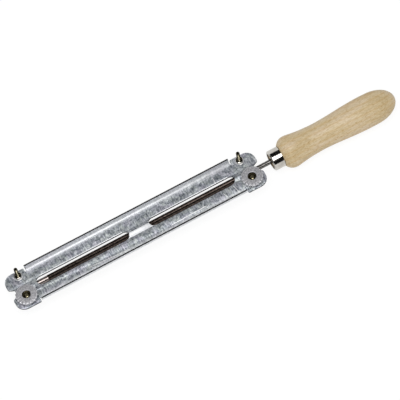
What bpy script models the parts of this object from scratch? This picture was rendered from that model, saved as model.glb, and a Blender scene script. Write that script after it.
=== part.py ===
"""Chainsaw file guide: a galvanised sheet-metal guide plate that holds a round file between two
screw clamps, with a turned wooden handle on the file's tang.

Metres, +Z up. X runs along the file towards the handle and +Y points away from the knurled nuts.
The origin lies under the middle of the object, at the height of the handle's belly.
"""

import math

import bmesh
import bpy
from mathutils import Vector

# Guide plate
PLATE_WIDTH = 0.0327
PLATE_SHEET = 0.0012
PLATE_CORNER_RADIUS = 0.0075
FLANGE_INSET = 0.0195
FLANGE_HEIGHT = 0.0051
BEND_RADIUS = 0.0024
LOBE_CORNER_RADIUS = 0.001
RELIEF_LENGTH = 0.001
RELIEF_CORNER_RADIUS = 0.0004
NOTCH_MOUTH = 0.0096
NOTCH_FLOOR = 0.0052
NOTCH_DEPTH = 0.0044
NOTCH_CORNER_RADIUS = 0.0018
NOTCH_FLOOR_RADIUS = 0.0012
BEAD_FOOT_RADIUS = 0.0014
SLOT_WIDTH = 0.0072
SLOT_INSET = 0.0223
WEB_LENGTH = 0.0172
WEB_OFFSET = 0.0025

# Round file, and how far the plate reaches beyond its tip and its heel
FILE_DIAMETER = 0.0048
FILE_LENGTH = 0.2
FILE_TIP_INSET = 0.007
FILE_HEEL_INSET = 0.009
FILE_CUT_HEIGHT = 0.0001
FILE_PLAIN_TIP = 0.0245
FILE_PLAIN_HEEL = 0.012
FILE_TIP_CHAMFER = 0.0007
FILE_STEP_LENGTH = 0.0006
TANG_DIAMETER = 0.0037
TANG_SHOULDER = 0.004
TANG_LENGTH = 0.051
TANG_TAPER = 0.033
TANG_END_DIAMETER = 0.0024
TANG_POINT = 0.003
# Share of the file's diameter that stands above the plate's working face
FILE_RISE_SHARE = 0.25

# Handle and ferrule
HANDLE_LENGTH = 0.1
HANDLE_DIAMETER = 0.026
HANDLE_GAP = 0.009
BORE_END = 0.002
FERRULE_DIAMETER = 0.0166
FERRULE_LENGTH = 0.009
FERRULE_WALL = 0.0007
FERRULE_LIP = 0.0013
FERRULE_EDGE_RADIUS = 0.0014
# Shares of the handle's length and of its radius, from the ferrule to the start of the round end
HANDLE_OUTLINE_SHARES = (
    (0.0, 0.66),
    (0.016, 0.82),
    (0.046, 0.962),
    (0.082, 1.0),
    (0.14, 0.94),
    (0.21, 0.876),
    (0.28, 0.846),
    (0.345, 0.838),
    (0.45, 0.872),
    (0.575, 0.945),
    (0.68, 0.985),
    (0.75, 0.992),
    (0.8, 0.985),
)

# Clamps
CLAMP_INSET = 0.0105
STUD_INSET = 0.0015
STUD_Y = 0.0112
CLAMP_SCREW_Y = -0.0075
JAW_SHEET = 0.0015
JAW_LENGTH = 0.012
JAW_EDGE = 0.0042
JAW_CORNER_RADIUS = 0.003
JAW_DEPTH = 0.001
JAW_FOOT_RADIUS = 0.0014

# Screws, nuts and washers
SCREW_DIAMETER = 0.003
SCREW_CHAMFER = 0.0004
CLAMP_SCREW_LENGTH = 0.0095
STUD_LENGTH = 0.019
HEAD_DIAMETER = 0.0058
HEAD_HEIGHT = 0.0021
DRIVE_SLOT_WIDTH = 0.0008
DRIVE_SLOT_DEPTH = 0.001
HEX_WIDTH = 0.0055
HEX_HEIGHT = 0.0024
HEX_FACE_SHARE = 0.95
WASHER_DIAMETER = 0.007
WASHER_THICKNESS = 0.0005
DISC_DIAMETER = 0.0174
DISC_THICKNESS = 0.0018
DISC_BEVEL = 0.0003
DISC_NECK_DIAMETER = 0.0064
DISC_NECK_HEIGHT = 0.0028
DISC_NECK_FILLET = 0.0006
DISC_MOUTH_DIAMETER = 0.0068
DISC_MOUTH_DEPTH = 0.0018
SCALLOP_COUNT = 20
SCALLOP_DEPTH = 0.0006

# Clearance between pieces, room round a screw or the file, and overrun of the cutters
SEAT_GAP = 0.0003
HOLE_GAP = 0.0003
OVERRUN = 0.002

# Facets
TURNED_STEPS = 40
FILE_STEPS = 28
SCREW_STEPS = 20
RING_STEPS = 36
SCALLOP_STEPS = 4
ARC_STEPS = 6
BEAD_STEPS = 8
CURVE_STEPS = 2

# Places that follow from the sizes, from the middle of the plate on the file's axis
FILE_RADIUS = FILE_DIAMETER / 2
PLATE_LENGTH = FILE_LENGTH + FILE_TIP_INSET + FILE_HEEL_INSET
PLATE_HALF = PLATE_LENGTH / 2
FLANGE_LENGTH = PLATE_LENGTH - 2 * FLANGE_INSET
SLOT_SPAN = PLATE_LENGTH - 2 * SLOT_INSET
CLAMP_SPACING = PLATE_LENGTH - 2 * CLAMP_INSET
HALF_WIDTH = PLATE_WIDTH / 2
FACE_Z = FILE_RADIUS - FILE_RISE_SHARE * FILE_DIAMETER
PLATE_TOP_Z = FACE_Z + PLATE_SHEET
GROOVE_RADIUS = FILE_RADIUS + HOLE_GAP
FERRULE_X = PLATE_HALF + HANDLE_GAP
HANDLE_X = FERRULE_X + FERRULE_LENGTH
OVERALL_LENGTH = PLATE_HALF + HANDLE_X + HANDLE_LENGTH
SHOULDER_X = PLATE_HALF - FILE_HEEL_INSET
JAW_UNDER_Z = -JAW_DEPTH - JAW_SHEET
HEAD_Z = JAW_UNDER_Z - SEAT_GAP
HOLE_DIAMETER = SCREW_DIAMETER + 2 * HOLE_GAP

# Linear base colour, metallic and roughness
FINISHES = {
    "galvanised_steel": ((0.50, 0.52, 0.56), 0.9, 0.38),
    "file_steel": ((0.07, 0.065, 0.06), 0.9, 0.35),
    "nickel_plate": ((0.75, 0.74, 0.71), 1.0, 0.12),
    "beech": ((0.66, 0.48, 0.27), 0.0, 0.5),
    "zinc_yellow": ((0.52, 0.42, 0.2), 0.9, 0.35),
}


def clear_scene():
    for item in list(bpy.data.objects):
        bpy.data.objects.remove(item)


def finish(piece, name):
    """Gives the piece a material of its own."""
    colour, metallic, roughness = FINISHES[name]
    material = bpy.data.materials.new(f"{piece.name}_{name}")
    material.use_nodes = True
    shader = material.node_tree.nodes["Principled BSDF"]
    shader.inputs["Base Color"].default_value = (*colour, 1)
    shader.inputs["Metallic"].default_value = metallic
    shader.inputs["Roughness"].default_value = roughness
    piece.data.materials.append(material)


def piece_from(name, shape, parent, place=(0, 0, 0), surface=None):
    """Turns a bmesh into an object at its place under its parent. Without a surface it is a cutter."""
    bmesh.ops.recalc_face_normals(shape, faces=shape.faces)
    mesh = bpy.data.meshes.new(name)
    shape.to_mesh(mesh)
    shape.free()
    mesh.shade_smooth()
    mesh.set_sharp_from_angle(angle=math.radians(35))
    piece = bpy.data.objects.new(name, mesh)
    bpy.context.scene.collection.objects.link(piece)
    piece.parent = parent
    piece.location = place
    if surface:
        finish(piece, surface)
    else:
        piece.hide_render = True
        piece.display_type = "WIRE"
    return piece


def combine(piece, other, operation):
    modifier = piece.modifiers.new(f"{operation.lower()} {other.name}", "BOOLEAN")
    modifier.operation = operation
    modifier.solver = "EXACT"
    modifier.object = other


def circle_points(radius, steps):
    return [
        Vector((radius * math.cos(angle), radius * math.sin(angle)))
        for angle in (2 * math.pi * step / steps for step in range(steps))
    ]


def arc_points(centre, radius, start, end, steps):
    """Points of an arc with the unit vector from its centre to each."""
    points = []
    for step in range(steps + 1):
        angle = start + (end - start) * step / steps
        outward = Vector((math.cos(angle), math.sin(angle)))
        points.append((Vector(centre) + outward * radius, outward))
    return points


def rounded_outline(corners):
    """Outline through (x, y, radius) corners, each rounded to its own radius."""
    outline = []
    for index, (x, y, radius) in enumerate(corners):
        corner = Vector((x, y))
        back = (Vector(corners[index - 1][:2]) - corner).normalized()
        ahead = (Vector(corners[(index + 1) % len(corners)][:2]) - corner).normalized()
        if not radius:
            outline.append(corner)
            continue
        half_angle = back.angle(ahead) / 2
        centre = corner + (back + ahead).normalized() * radius / math.sin(half_angle)
        first = corner + back * radius / math.tan(half_angle) - centre
        last = corner + ahead * radius / math.tan(half_angle) - centre
        start = math.atan2(first.y, first.x)
        turn = math.atan2(first.x * last.y - first.y * last.x, first.dot(last))
        arc = arc_points(centre, radius, start, start + turn, ARC_STEPS)
        outline.extend(point for point, _ in arc)
    return outline


def prism(outline, low, high, axis="Z"):
    """Solid between two levels of a closed outline, drawn in XY for axis Z and in YZ for axis X."""
    shape = bmesh.new()
    if axis == "Z":
        corners = [(point.x, point.y, low) for point in outline]
        rise = (0, 0, high - low)
    else:
        corners = [(low, point.x, point.y) for point in outline]
        rise = (high - low, 0, 0)
    face = shape.faces.new([shape.verts.new(corner) for corner in corners])
    grown = bmesh.ops.extrude_face_region(shape, geom=[face])["geom"]
    top = [item for item in grown if isinstance(item, bmesh.types.BMVert)]
    bmesh.ops.translate(shape, verts=top, vec=rise)
    return shape


def turned(profile, steps, axis="X", closed=False):
    """Solid of revolution of (along, radius) points. A closed profile stays clear of the axis."""
    shape = bmesh.new()
    if axis == "X":
        places = [(along, 0, radius) for along, radius in profile]
        direction = (1, 0, 0)
    else:
        places = [(radius, 0, along) for along, radius in profile]
        direction = (0, 0, 1)
    verts = [shape.verts.new(place) for place in places]
    pairs = list(zip(verts, verts[1:]))
    if closed:
        pairs.append((verts[-1], verts[0]))
    edges = [shape.edges.new(pair) for pair in pairs]
    bmesh.ops.spin(
        shape,
        geom=verts + edges,
        cent=(0, 0, 0),
        axis=direction,
        angle=2 * math.pi,
        steps=steps,
        use_merge=True,
    )
    # Points on the axis were made once for each step
    smallest = min(radius for _, radius in profile if radius)
    poles = [vert for vert in shape.verts if Vector(vert.co).cross(Vector(direction)).length < smallest / 2]
    if poles:
        bmesh.ops.remove_doubles(shape, verts=poles, dist=smallest * 0.01)
    return shape


def ring_body(rings):
    """Closed body whose section goes once round through the rings, which hold as many points each."""
    shape = bmesh.new()
    loops = [[shape.verts.new(point) for point in ring] for ring in rings]
    count = len(loops[0])
    for index, loop in enumerate(loops):
        previous = loops[index - 1]
        for step in range(count):
            after = (step + 1) % count
            shape.faces.new((previous[step], previous[after], loop[after], loop[step]))
    return shape


def joined(shapes):
    """One bmesh that holds several separate solids."""
    whole = bmesh.new()
    for shape in shapes:
        mesh = bpy.data.meshes.new("joined")
        shape.to_mesh(mesh)
        shape.free()
        whole.from_mesh(mesh)
        bpy.data.meshes.remove(mesh)
    return whole


def moved(shape, place):
    bmesh.ops.translate(shape, verts=shape.verts, vec=place)
    return shape


def sheet_section(centreline, sheet):
    """Closed outline of a sheet from (point, unit normal) pairs along its middle."""
    upper = [point + normal * sheet / 2 for point, normal in centreline]
    lower = [point - normal * sheet / 2 for point, normal in centreline]
    return upper + lower[::-1]


def beaded_centreline(first_y, last_y, middle_z, bead_radius, foot_radius):
    """Middle line of a flat sheet with a round bead over the file, drawn in YZ."""
    up = Vector((0, 1))
    foot_z = middle_z + foot_radius
    foot_y = math.sqrt((bead_radius + foot_radius) ** 2 - foot_z**2)
    lean = math.atan2(foot_z, foot_y)
    left_foot = arc_points((-foot_y, foot_z), foot_radius, -math.pi / 2, -lean, ARC_STEPS)
    crown = arc_points((0, 0), bead_radius, math.pi - lean, lean, BEAD_STEPS)
    right_foot = arc_points((foot_y, foot_z), foot_radius, lean - math.pi, -math.pi / 2, ARC_STEPS)
    line = [(Vector((first_y, middle_z)), up)]
    line += [(point, -outward) for point, outward in left_foot]
    line += crown[1:-1]
    line += [(point, -outward) for point, outward in right_foot]
    line.append((Vector((last_y, middle_z)), up))
    return line


def plate_outline():
    """Outline of the flat blank: the bend lines between the flanges, and a notched lobe at each end."""
    bend_y = HALF_WIDTH - PLATE_SHEET - BEND_RADIUS
    step_x = FLANGE_LENGTH / 2 + RELIEF_LENGTH
    end = [
        (step_x, -bend_y, RELIEF_CORNER_RADIUS),
        (step_x, -HALF_WIDTH, LOBE_CORNER_RADIUS),
        (PLATE_HALF, -HALF_WIDTH, PLATE_CORNER_RADIUS),
        (PLATE_HALF, -NOTCH_MOUTH / 2, NOTCH_CORNER_RADIUS),
        (PLATE_HALF - NOTCH_DEPTH, -NOTCH_FLOOR / 2, NOTCH_FLOOR_RADIUS),
        (PLATE_HALF - NOTCH_DEPTH, NOTCH_FLOOR / 2, NOTCH_FLOOR_RADIUS),
        (PLATE_HALF, NOTCH_MOUTH / 2, NOTCH_CORNER_RADIUS),
        (PLATE_HALF, HALF_WIDTH, PLATE_CORNER_RADIUS),
        (step_x, HALF_WIDTH, LOBE_CORNER_RADIUS),
        (step_x, bend_y, RELIEF_CORNER_RADIUS),
    ]
    other_end = [(-x, -y, radius) for x, y, radius in end]
    return rounded_outline(end + other_end)


def flange_body(side):
    """One upturned edge with its bend, on the side that +1 or -1 gives."""
    middle_radius = BEND_RADIUS + PLATE_SHEET / 2
    middle_z = FACE_Z + PLATE_SHEET / 2
    bend_y = HALF_WIDTH - PLATE_SHEET - BEND_RADIUS
    inner_y = bend_y - OVERRUN
    bend_centre = (bend_y, middle_z + middle_radius)
    bend = arc_points(bend_centre, middle_radius, -math.pi / 2, 0, ARC_STEPS)
    line = [(Vector((inner_y, middle_z)), Vector((0, 1)))]
    line += [(point, -outward) for point, outward in bend]
    line.append((Vector((HALF_WIDTH - PLATE_SHEET / 2, FACE_Z + FLANGE_HEIGHT)), Vector((-1, 0))))
    section = [Vector((side * point.x, point.y)) for point in sheet_section(line, PLATE_SHEET)]
    return prism(section, -FLANGE_LENGTH / 2, FLANGE_LENGTH / 2, axis="X")


def stadium(first_x, last_x, width):
    """Outline of a slot with round ends along X."""
    radius = width / 2
    right = arc_points((last_x - radius, 0), radius, -math.pi / 2, math.pi / 2, ARC_STEPS * 2)
    left = arc_points((first_x + radius, 0), radius, math.pi / 2, 3 * math.pi / 2, ARC_STEPS * 2)
    return [point for point, _ in right + left]


def clamp_places(side):
    """(x, y) of the clamp screw and of the stud at the end that -1, the tip, or +1, the tang, gives."""
    clamp_x = side * CLAMP_SPACING / 2
    return (clamp_x, CLAMP_SCREW_Y), (clamp_x - side * STUD_INSET, STUD_Y)


def guide_plate(frame):
    middle_z = FACE_Z + PLATE_SHEET / 2
    bead_radius = GROOVE_RADIUS + PLATE_SHEET / 2
    line = beaded_centreline(-PLATE_WIDTH, PLATE_WIDTH, middle_z, bead_radius, BEAD_FOOT_RADIUS)
    section = sheet_section(line, PLATE_SHEET)
    body = prism(section, -PLATE_LENGTH, PLATE_LENGTH, axis="X")
    plate = piece_from("guide_plate", body, frame, surface="galvanised_steel")
    crown_z = GROOVE_RADIUS + PLATE_SHEET + OVERRUN
    blank = prism(plate_outline(), FACE_Z - OVERRUN, crown_z)
    combine(plate, piece_from("plate_blank", blank, frame), "INTERSECT")
    for side, label in ((1, "far"), (-1, "near")):
        combine(plate, piece_from(f"{label}_flange", flange_body(side), frame), "UNION")
    web_start = WEB_OFFSET - WEB_LENGTH / 2
    web_end = WEB_OFFSET + WEB_LENGTH / 2
    spans = ((-SLOT_SPAN / 2, web_start), (web_end, SLOT_SPAN / 2))
    cuts = [prism(stadium(first, last, SLOT_WIDTH), FACE_Z - OVERRUN, crown_z) for first, last in spans]
    for side in (-1, 1):
        for x, y in clamp_places(side):
            hole = prism(circle_points(HOLE_DIAMETER / 2, SCREW_STEPS), FACE_Z - OVERRUN, crown_z)
            cuts.append(moved(hole, (x, y, 0)))
    combine(plate, piece_from("plate_cuts", joined(cuts), frame), "DIFFERENCE")


def tang_radius_points(clearance):
    """(x, radius) along the tang from the ferrule to its end, widened by a clearance."""
    end_x = SHOULDER_X + TANG_LENGTH
    taper_x = end_x - TANG_TAPER
    return [
        (taper_x, TANG_DIAMETER / 2 + clearance),
        (end_x - TANG_POINT, TANG_END_DIAMETER / 2 + clearance),
    ]


def round_file(frame):
    tip_x = FILE_TIP_INSET - PLATE_HALF
    plain_radius = FILE_RADIUS - FILE_CUT_HEIGHT
    cut_start = tip_x + FILE_PLAIN_TIP
    cut_end = SHOULDER_X - FILE_PLAIN_HEEL
    end_x = SHOULDER_X + TANG_LENGTH
    profile = [
        (tip_x, 0),
        (tip_x, plain_radius - FILE_TIP_CHAMFER),
        (tip_x + FILE_TIP_CHAMFER, plain_radius),
        (cut_start, plain_radius),
        (cut_start + FILE_STEP_LENGTH, FILE_RADIUS),
        (cut_end - FILE_STEP_LENGTH, FILE_RADIUS),
        (cut_end, plain_radius),
        (SHOULDER_X, plain_radius),
        (SHOULDER_X + TANG_SHOULDER, TANG_DIAMETER / 2),
        *tang_radius_points(0),
        (end_x, 0),
    ]
    piece_from("round_file", turned(profile, FILE_STEPS), frame, surface="file_steel")


def ferrule(frame):
    outer = FERRULE_DIAMETER / 2
    inner = outer - FERRULE_WALL
    edge = arc_points(
        (FERRULE_EDGE_RADIUS, outer - FERRULE_EDGE_RADIUS),
        FERRULE_EDGE_RADIUS,
        math.pi,
        math.pi / 2,
        ARC_STEPS,
    )
    profile = [
        (0, inner - FERRULE_LIP),
        *((point.x, point.y) for point, _ in edge),
        (FERRULE_LENGTH, outer),
        (FERRULE_LENGTH, inner),
        (FERRULE_EDGE_RADIUS, inner),
        (FERRULE_WALL, inner - FERRULE_LIP / 2),
        (FERRULE_WALL, inner - FERRULE_LIP),
    ]
    ring = turned(profile, TURNED_STEPS, closed=True)
    piece_from("ferrule", ring, frame, (FERRULE_X, 0, 0), "nickel_plate")


def smooth_curve(stations, steps):
    """Points of a Catmull-Rom curve through the stations, with some steps between each pair."""
    points = [Vector(station) for station in stations]
    ends = [2 * points[0] - points[1], *points, 2 * points[-1] - points[-2]]
    curve = []
    for before, start, end, after in zip(ends, ends[1:], ends[2:], ends[3:]):
        for step in range(steps):
            t = step / steps
            curve.append(
                start
                + (end - before) * t / 2
                + (before - start * 5 / 2 + end * 2 - after / 2) * t**2
                + (after - before + (start - end) * 3) * t**3 / 2
            )
    curve.append(points[-1])
    return curve


def handle(frame):
    """Turned handle: a bored tenon for the ferrule, a shoulder, a waist, a belly and a round end."""
    radius = HANDLE_DIAMETER / 2
    tenon_radius = FERRULE_DIAMETER / 2 - FERRULE_WALL - SEAT_GAP
    tenon_x = FERRULE_WALL + SEAT_GAP - FERRULE_LENGTH
    nose_radius = tenon_radius - (FERRULE_EDGE_RADIUS - FERRULE_WALL)
    bore = [(x - HANDLE_X, wide) for x, wide in tang_radius_points(HOLE_GAP) if x - HANDLE_X > tenon_x]
    bore_end_x = SHOULDER_X + TANG_LENGTH + BORE_END - HANDLE_X
    face_x = SEAT_GAP
    shares = HANDLE_OUTLINE_SHARES
    stations = [(along * HANDLE_LENGTH + face_x * (1 - along), wide * radius) for along, wide in shares]
    last_share, last_wide = shares[-1]
    cap_length = HANDLE_LENGTH * (1 - last_share)
    cap = []
    for step in range(1, TURNED_STEPS // 4):
        angle = math.pi / 2 * step / (TURNED_STEPS // 4)
        along = HANDLE_LENGTH - cap_length * (1 - math.sin(angle))
        cap.append((along, last_wide * radius * math.cos(angle)))
    profile = [
        (bore_end_x, 0),
        *bore[::-1],
        (tenon_x, TANG_DIAMETER / 2 + HOLE_GAP),
        (tenon_x, nose_radius),
        (tenon_x + FERRULE_EDGE_RADIUS, tenon_radius),
        (face_x, tenon_radius),
        *((point.x, point.y) for point in smooth_curve(stations, CURVE_STEPS)),
        *cap,
        (HANDLE_LENGTH, 0),
    ]
    piece_from("handle", turned(profile, TURNED_STEPS), frame, (HANDLE_X, 0, 0), "beech")


def clamp_jaw(frame, name, side):
    """Pressed saddle under the file, with a flat wing for each screw."""
    (screw_x, screw_y), (stud_x, stud_y) = clamp_places(side)
    middle_z = JAW_DEPTH + JAW_SHEET / 2
    groove_radius = GROOVE_RADIUS + JAW_SHEET / 2
    line = beaded_centreline(-PLATE_WIDTH, PLATE_WIDTH, middle_z, groove_radius, JAW_FOOT_RADIUS)
    section = [Vector((point.x, -point.y)) for point in sheet_section(line, JAW_SHEET)]
    body = prism(section, -JAW_LENGTH, JAW_LENGTH, axis="X")
    centre_x = (screw_x + stud_x) / 2
    jaw = piece_from(name, body, frame, (centre_x, 0, 0), "galvanised_steel")
    half = JAW_LENGTH / 2
    near_y = screw_y - JAW_EDGE
    far_y = stud_y + JAW_EDGE
    corners = [
        (half, near_y, JAW_CORNER_RADIUS),
        (half, far_y, JAW_CORNER_RADIUS),
        (-half, far_y, JAW_CORNER_RADIUS),
        (-half, near_y, JAW_CORNER_RADIUS),
    ]
    low_z = -GROOVE_RADIUS - JAW_SHEET - OVERRUN
    blank = prism(rounded_outline(corners), low_z, FACE_Z)
    combine(jaw, piece_from(f"{name}_blank", blank, frame, (centre_x, 0, 0)), "INTERSECT")
    holes = []
    for x, y in ((screw_x, screw_y), (stud_x, stud_y)):
        hole = prism(circle_points(HOLE_DIAMETER / 2, SCREW_STEPS), low_z, FACE_Z)
        holes.append(moved(hole, (x - centre_x, y, 0)))
    combine(jaw, piece_from(f"{name}_holes", joined(holes), frame, (centre_x, 0, 0)), "DIFFERENCE")


def screw(frame, name, place, length):
    """Slotted pan-head screw, head down. Its origin is where its head meets the jaw."""
    head = HEAD_DIAMETER / 2
    shank = SCREW_DIAMETER / 2
    dome = arc_points((0, 0), 1, -math.pi / 2, 0, ARC_STEPS)
    profile = [
        *((unit.y * HEAD_HEIGHT, unit.x * head) for unit, _ in dome[1:]),
        (0, shank),
        (length - SCREW_CHAMFER, shank),
        (length, shank - SCREW_CHAMFER),
        (length, 0),
    ]
    body = turned([(-HEAD_HEIGHT, 0), *profile], SCREW_STEPS, axis="Z")
    pin = piece_from(name, body, frame, (*place, HEAD_Z), "zinc_yellow")
    half = DRIVE_SLOT_WIDTH / 2
    reach = head + OVERRUN
    outline = [Vector(corner) for corner in ((-reach, -half), (reach, -half), (reach, half), (-reach, half))]
    cut = prism(outline, -HEAD_HEIGHT - OVERRUN, DRIVE_SLOT_DEPTH - HEAD_HEIGHT)
    combine(pin, piece_from(f"{name}_drive", cut, frame, (*place, HEAD_Z)), "DIFFERENCE")


def washer(frame, name, place):
    profile = [
        (0, HOLE_DIAMETER / 2),
        (0, WASHER_DIAMETER / 2),
        (WASHER_THICKNESS, WASHER_DIAMETER / 2),
        (WASHER_THICKNESS, HOLE_DIAMETER / 2),
    ]
    body = turned(profile, RING_STEPS, axis="Z", closed=True)
    piece_from(name, body, frame, (*place, PLATE_TOP_Z + SEAT_GAP), "zinc_yellow")


def hex_nut(frame, name, place):
    """Hexagon nut whose corners are turned down at both faces."""
    half_width = HEX_WIDTH / 2
    face_radius = half_width * HEX_FACE_SHARE
    slope = math.tan(math.radians(30))
    bore_low, face_low, side_low, side_high, face_high, bore_high = [], [], [], [], [], []
    for step in range(RING_STEPS):
        angle = 2 * math.pi * step / RING_STEPS
        across = (angle + math.pi / 6) % (math.pi / 3) - math.pi / 6
        reach = half_width / math.cos(across)
        drop = (reach - face_radius) * slope
        ray = Vector((math.cos(angle), math.sin(angle), 0))
        top = Vector((0, 0, HEX_HEIGHT))
        fall = Vector((0, 0, drop))
        bore_low.append(ray * HOLE_DIAMETER / 2)
        face_low.append(ray * face_radius)
        side_low.append(ray * reach + fall)
        side_high.append(ray * reach + top - fall)
        face_high.append(ray * face_radius + top)
        bore_high.append(ray * HOLE_DIAMETER / 2 + top)
    body = ring_body([bore_low, face_low, side_low, side_high, face_high, bore_high])
    height = PLATE_TOP_Z + WASHER_THICKNESS + 2 * SEAT_GAP
    piece_from(name, body, frame, (*place, height), "zinc_yellow")


def knurled_nut(frame, name, place):
    """Pressed disc with a scalloped rim, on a neck that stands on the plate, with a rolled-in mouth."""
    neck = DISC_NECK_DIAMETER / 2
    mouth = DISC_MOUTH_DIAMETER / 2
    bore = HOLE_DIAMETER / 2
    rim = DISC_DIAMETER / 2
    top = DISC_NECK_HEIGHT + DISC_THICKNESS
    fillet = arc_points(
        (neck + DISC_NECK_FILLET, DISC_NECK_HEIGHT - DISC_NECK_FILLET),
        DISC_NECK_FILLET,
        math.pi,
        math.pi / 2,
        CURVE_STEPS,
    )
    funnel = arc_points((0, 0), 1, math.pi / 2, math.pi, CURVE_STEPS)
    round_levels = [(bore, 0), (neck, 0), *((point.x, point.y) for point, _ in fillet)]
    mouth_levels = [
        (mouth + unit.x * (mouth - bore), top - DISC_MOUTH_DEPTH * (1 - unit.y)) for unit, _ in funnel
    ]
    rim_levels = [
        (DISC_BEVEL, DISC_NECK_HEIGHT),
        (0, DISC_NECK_HEIGHT + DISC_BEVEL),
        (0, top - DISC_BEVEL),
        (DISC_BEVEL, top),
    ]
    count = SCALLOP_COUNT * SCALLOP_STEPS
    rays = [Vector((*point, 0)) for point in circle_points(1, count)]
    waves = [math.sin(math.pi * (step % SCALLOP_STEPS) / SCALLOP_STEPS) for step in range(count)]
    rings = [[ray * radius + Vector((0, 0, z)) for ray in rays] for radius, z in round_levels]
    for inset, z in rim_levels:
        rings.append(
            [
                ray * (rim - SCALLOP_DEPTH * wave - inset) + Vector((0, 0, z))
                for ray, wave in zip(rays, waves)
            ]
        )
    rings += [[ray * radius + Vector((0, 0, z)) for ray in rays] for radius, z in mouth_levels]
    piece_from(name, ring_body(rings), frame, (*place, PLATE_TOP_Z + SEAT_GAP), "galvanised_steel")


def clamp(frame, label, side):
    """The pieces that grip one end of the file."""
    screw_place, stud_place = clamp_places(side)
    clamp_jaw(frame, f"{label}_clamp_jaw", side)
    screw(frame, f"{label}_clamp_screw", screw_place, CLAMP_SCREW_LENGTH)
    screw(frame, f"{label}_stud_screw", stud_place, STUD_LENGTH)
    knurled_nut(frame, f"{label}_knurled_nut", screw_place)
    washer(frame, f"{label}_washer", stud_place)
    hex_nut(frame, f"{label}_hex_nut", stud_place)


def main():
    clear_scene()
    frame = bpy.data.objects.new("file_axis_frame", None)
    bpy.context.scene.collection.objects.link(frame)
    frame.location = (PLATE_HALF - OVERALL_LENGTH / 2, 0, HANDLE_DIAMETER / 2)
    guide_plate(frame)
    round_file(frame)
    ferrule(frame)
    handle(frame)
    clamp(frame, "tip", -1)
    clamp(frame, "tang", 1)


main()
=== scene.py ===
import math

import bpy
from mathutils import Matrix, Vector


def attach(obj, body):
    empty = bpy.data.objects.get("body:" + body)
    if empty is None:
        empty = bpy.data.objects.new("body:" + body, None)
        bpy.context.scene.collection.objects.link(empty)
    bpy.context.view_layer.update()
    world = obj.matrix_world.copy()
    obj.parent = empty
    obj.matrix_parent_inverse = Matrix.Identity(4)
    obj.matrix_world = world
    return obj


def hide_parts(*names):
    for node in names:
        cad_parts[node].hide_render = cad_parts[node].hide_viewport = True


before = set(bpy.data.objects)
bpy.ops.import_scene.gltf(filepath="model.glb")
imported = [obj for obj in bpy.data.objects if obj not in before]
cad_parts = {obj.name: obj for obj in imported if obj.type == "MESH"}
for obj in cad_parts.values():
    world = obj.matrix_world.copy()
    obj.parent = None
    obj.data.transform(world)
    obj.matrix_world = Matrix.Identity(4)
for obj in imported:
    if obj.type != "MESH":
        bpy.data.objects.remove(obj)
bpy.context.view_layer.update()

# Chainsaw file guide: the looks of a galvanised guide plate, its round file, two clamps and handle.
# Lengths in the dictionaries are millimetres; mm turns them into Blender's metres.
mm = 0.001
axisHeight = 13.0


# Small steps that every piece uses


def dropSelection():
    # operators act on all that is selected, so nothing may stay so
    if bpy.context.object and bpy.context.object.mode != "OBJECT":
        bpy.ops.object.mode_set(mode="OBJECT")
    bpy.ops.object.select_all(action="DESELECT")


def pickOnly(piece):
    dropSelection()
    piece.select_set(True)
    bpy.context.view_layer.objects.active = piece


def settle(piece, name, smoothAngle=35):
    # the place goes into the mesh, so the object itself sits at the origin
    pickOnly(piece)
    piece.name = name
    piece.data.name = name
    bpy.ops.object.transform_apply(location=True, rotation=True, scale=True)
    bpy.ops.object.shade_smooth_by_angle(angle=math.radians(smoothAngle))
    return piece


def chooseVertices(piece, chosen):
    # edit mode with only the vertices that chosen(vertex) picks selected
    pickOnly(piece)
    bpy.ops.object.mode_set(mode="EDIT")
    bpy.ops.mesh.select_mode(type="VERT")
    bpy.ops.mesh.select_all(action="DESELECT")
    bpy.ops.object.mode_set(mode="OBJECT")
    for vertex in piece.data.vertices:
        vertex.select = chosen(vertex)
    bpy.ops.object.mode_set(mode="EDIT")


def drawLine(points):
    # one corner of a plane, extruded from point to point
    dropSelection()
    bpy.ops.mesh.primitive_plane_add(size=mm, location=points[0])
    piece = bpy.context.object
    bpy.ops.object.mode_set(mode="EDIT")
    bpy.ops.mesh.select_mode(type="VERT")
    bpy.ops.mesh.merge(type="CENTER")
    for before, after in zip(points, points[1:]):
        bpy.ops.mesh.extrude_region_move(TRANSFORM_OT_translate={"value": after - before})
    bpy.ops.object.mode_set(mode="OBJECT")
    return piece


def closeUp(piece):
    # merges doubles and turns the faces outwards
    pickOnly(piece)
    bpy.ops.object.mode_set(mode="EDIT")
    bpy.ops.mesh.select_all(action="SELECT")
    bpy.ops.mesh.remove_doubles(threshold=0.002 * mm)
    bpy.ops.mesh.normals_make_consistent(inside=False)
    bpy.ops.object.mode_set(mode="OBJECT")


def fillGaps(piece):
    # closes what is open: the ends of a wound tube, or a pinhole that a boolean leaves
    pickOnly(piece)
    bpy.ops.object.mode_set(mode="EDIT")
    bpy.ops.mesh.select_mode(type="EDGE")
    bpy.ops.mesh.select_all(action="DESELECT")
    bpy.ops.mesh.select_non_manifold()
    bpy.ops.mesh.fill_holes(sides=0)
    bpy.ops.object.mode_set(mode="OBJECT")


def turnedPiece(name, outline, centre, axis, out, steps):
    # outline holds (along, radius) in millimetres from the centre
    middle = Vector(centre) * mm
    points = [middle + (Vector(axis) * along + Vector(out) * radius) * mm for along, radius in outline]
    piece = drawLine(points)
    bpy.ops.object.mode_set(mode="EDIT")
    bpy.ops.mesh.select_all(action="SELECT")
    bpy.ops.mesh.spin(steps=steps, angle=2 * math.pi, center=middle, axis=axis)
    bpy.ops.object.mode_set(mode="OBJECT")
    closeUp(piece)
    return settle(piece, name)


def uprightPiece(name, outline, place, height, steps):
    return turnedPiece(name, outline, (*place, height), (0, 0, 1), (1, 0, 0), steps)


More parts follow.
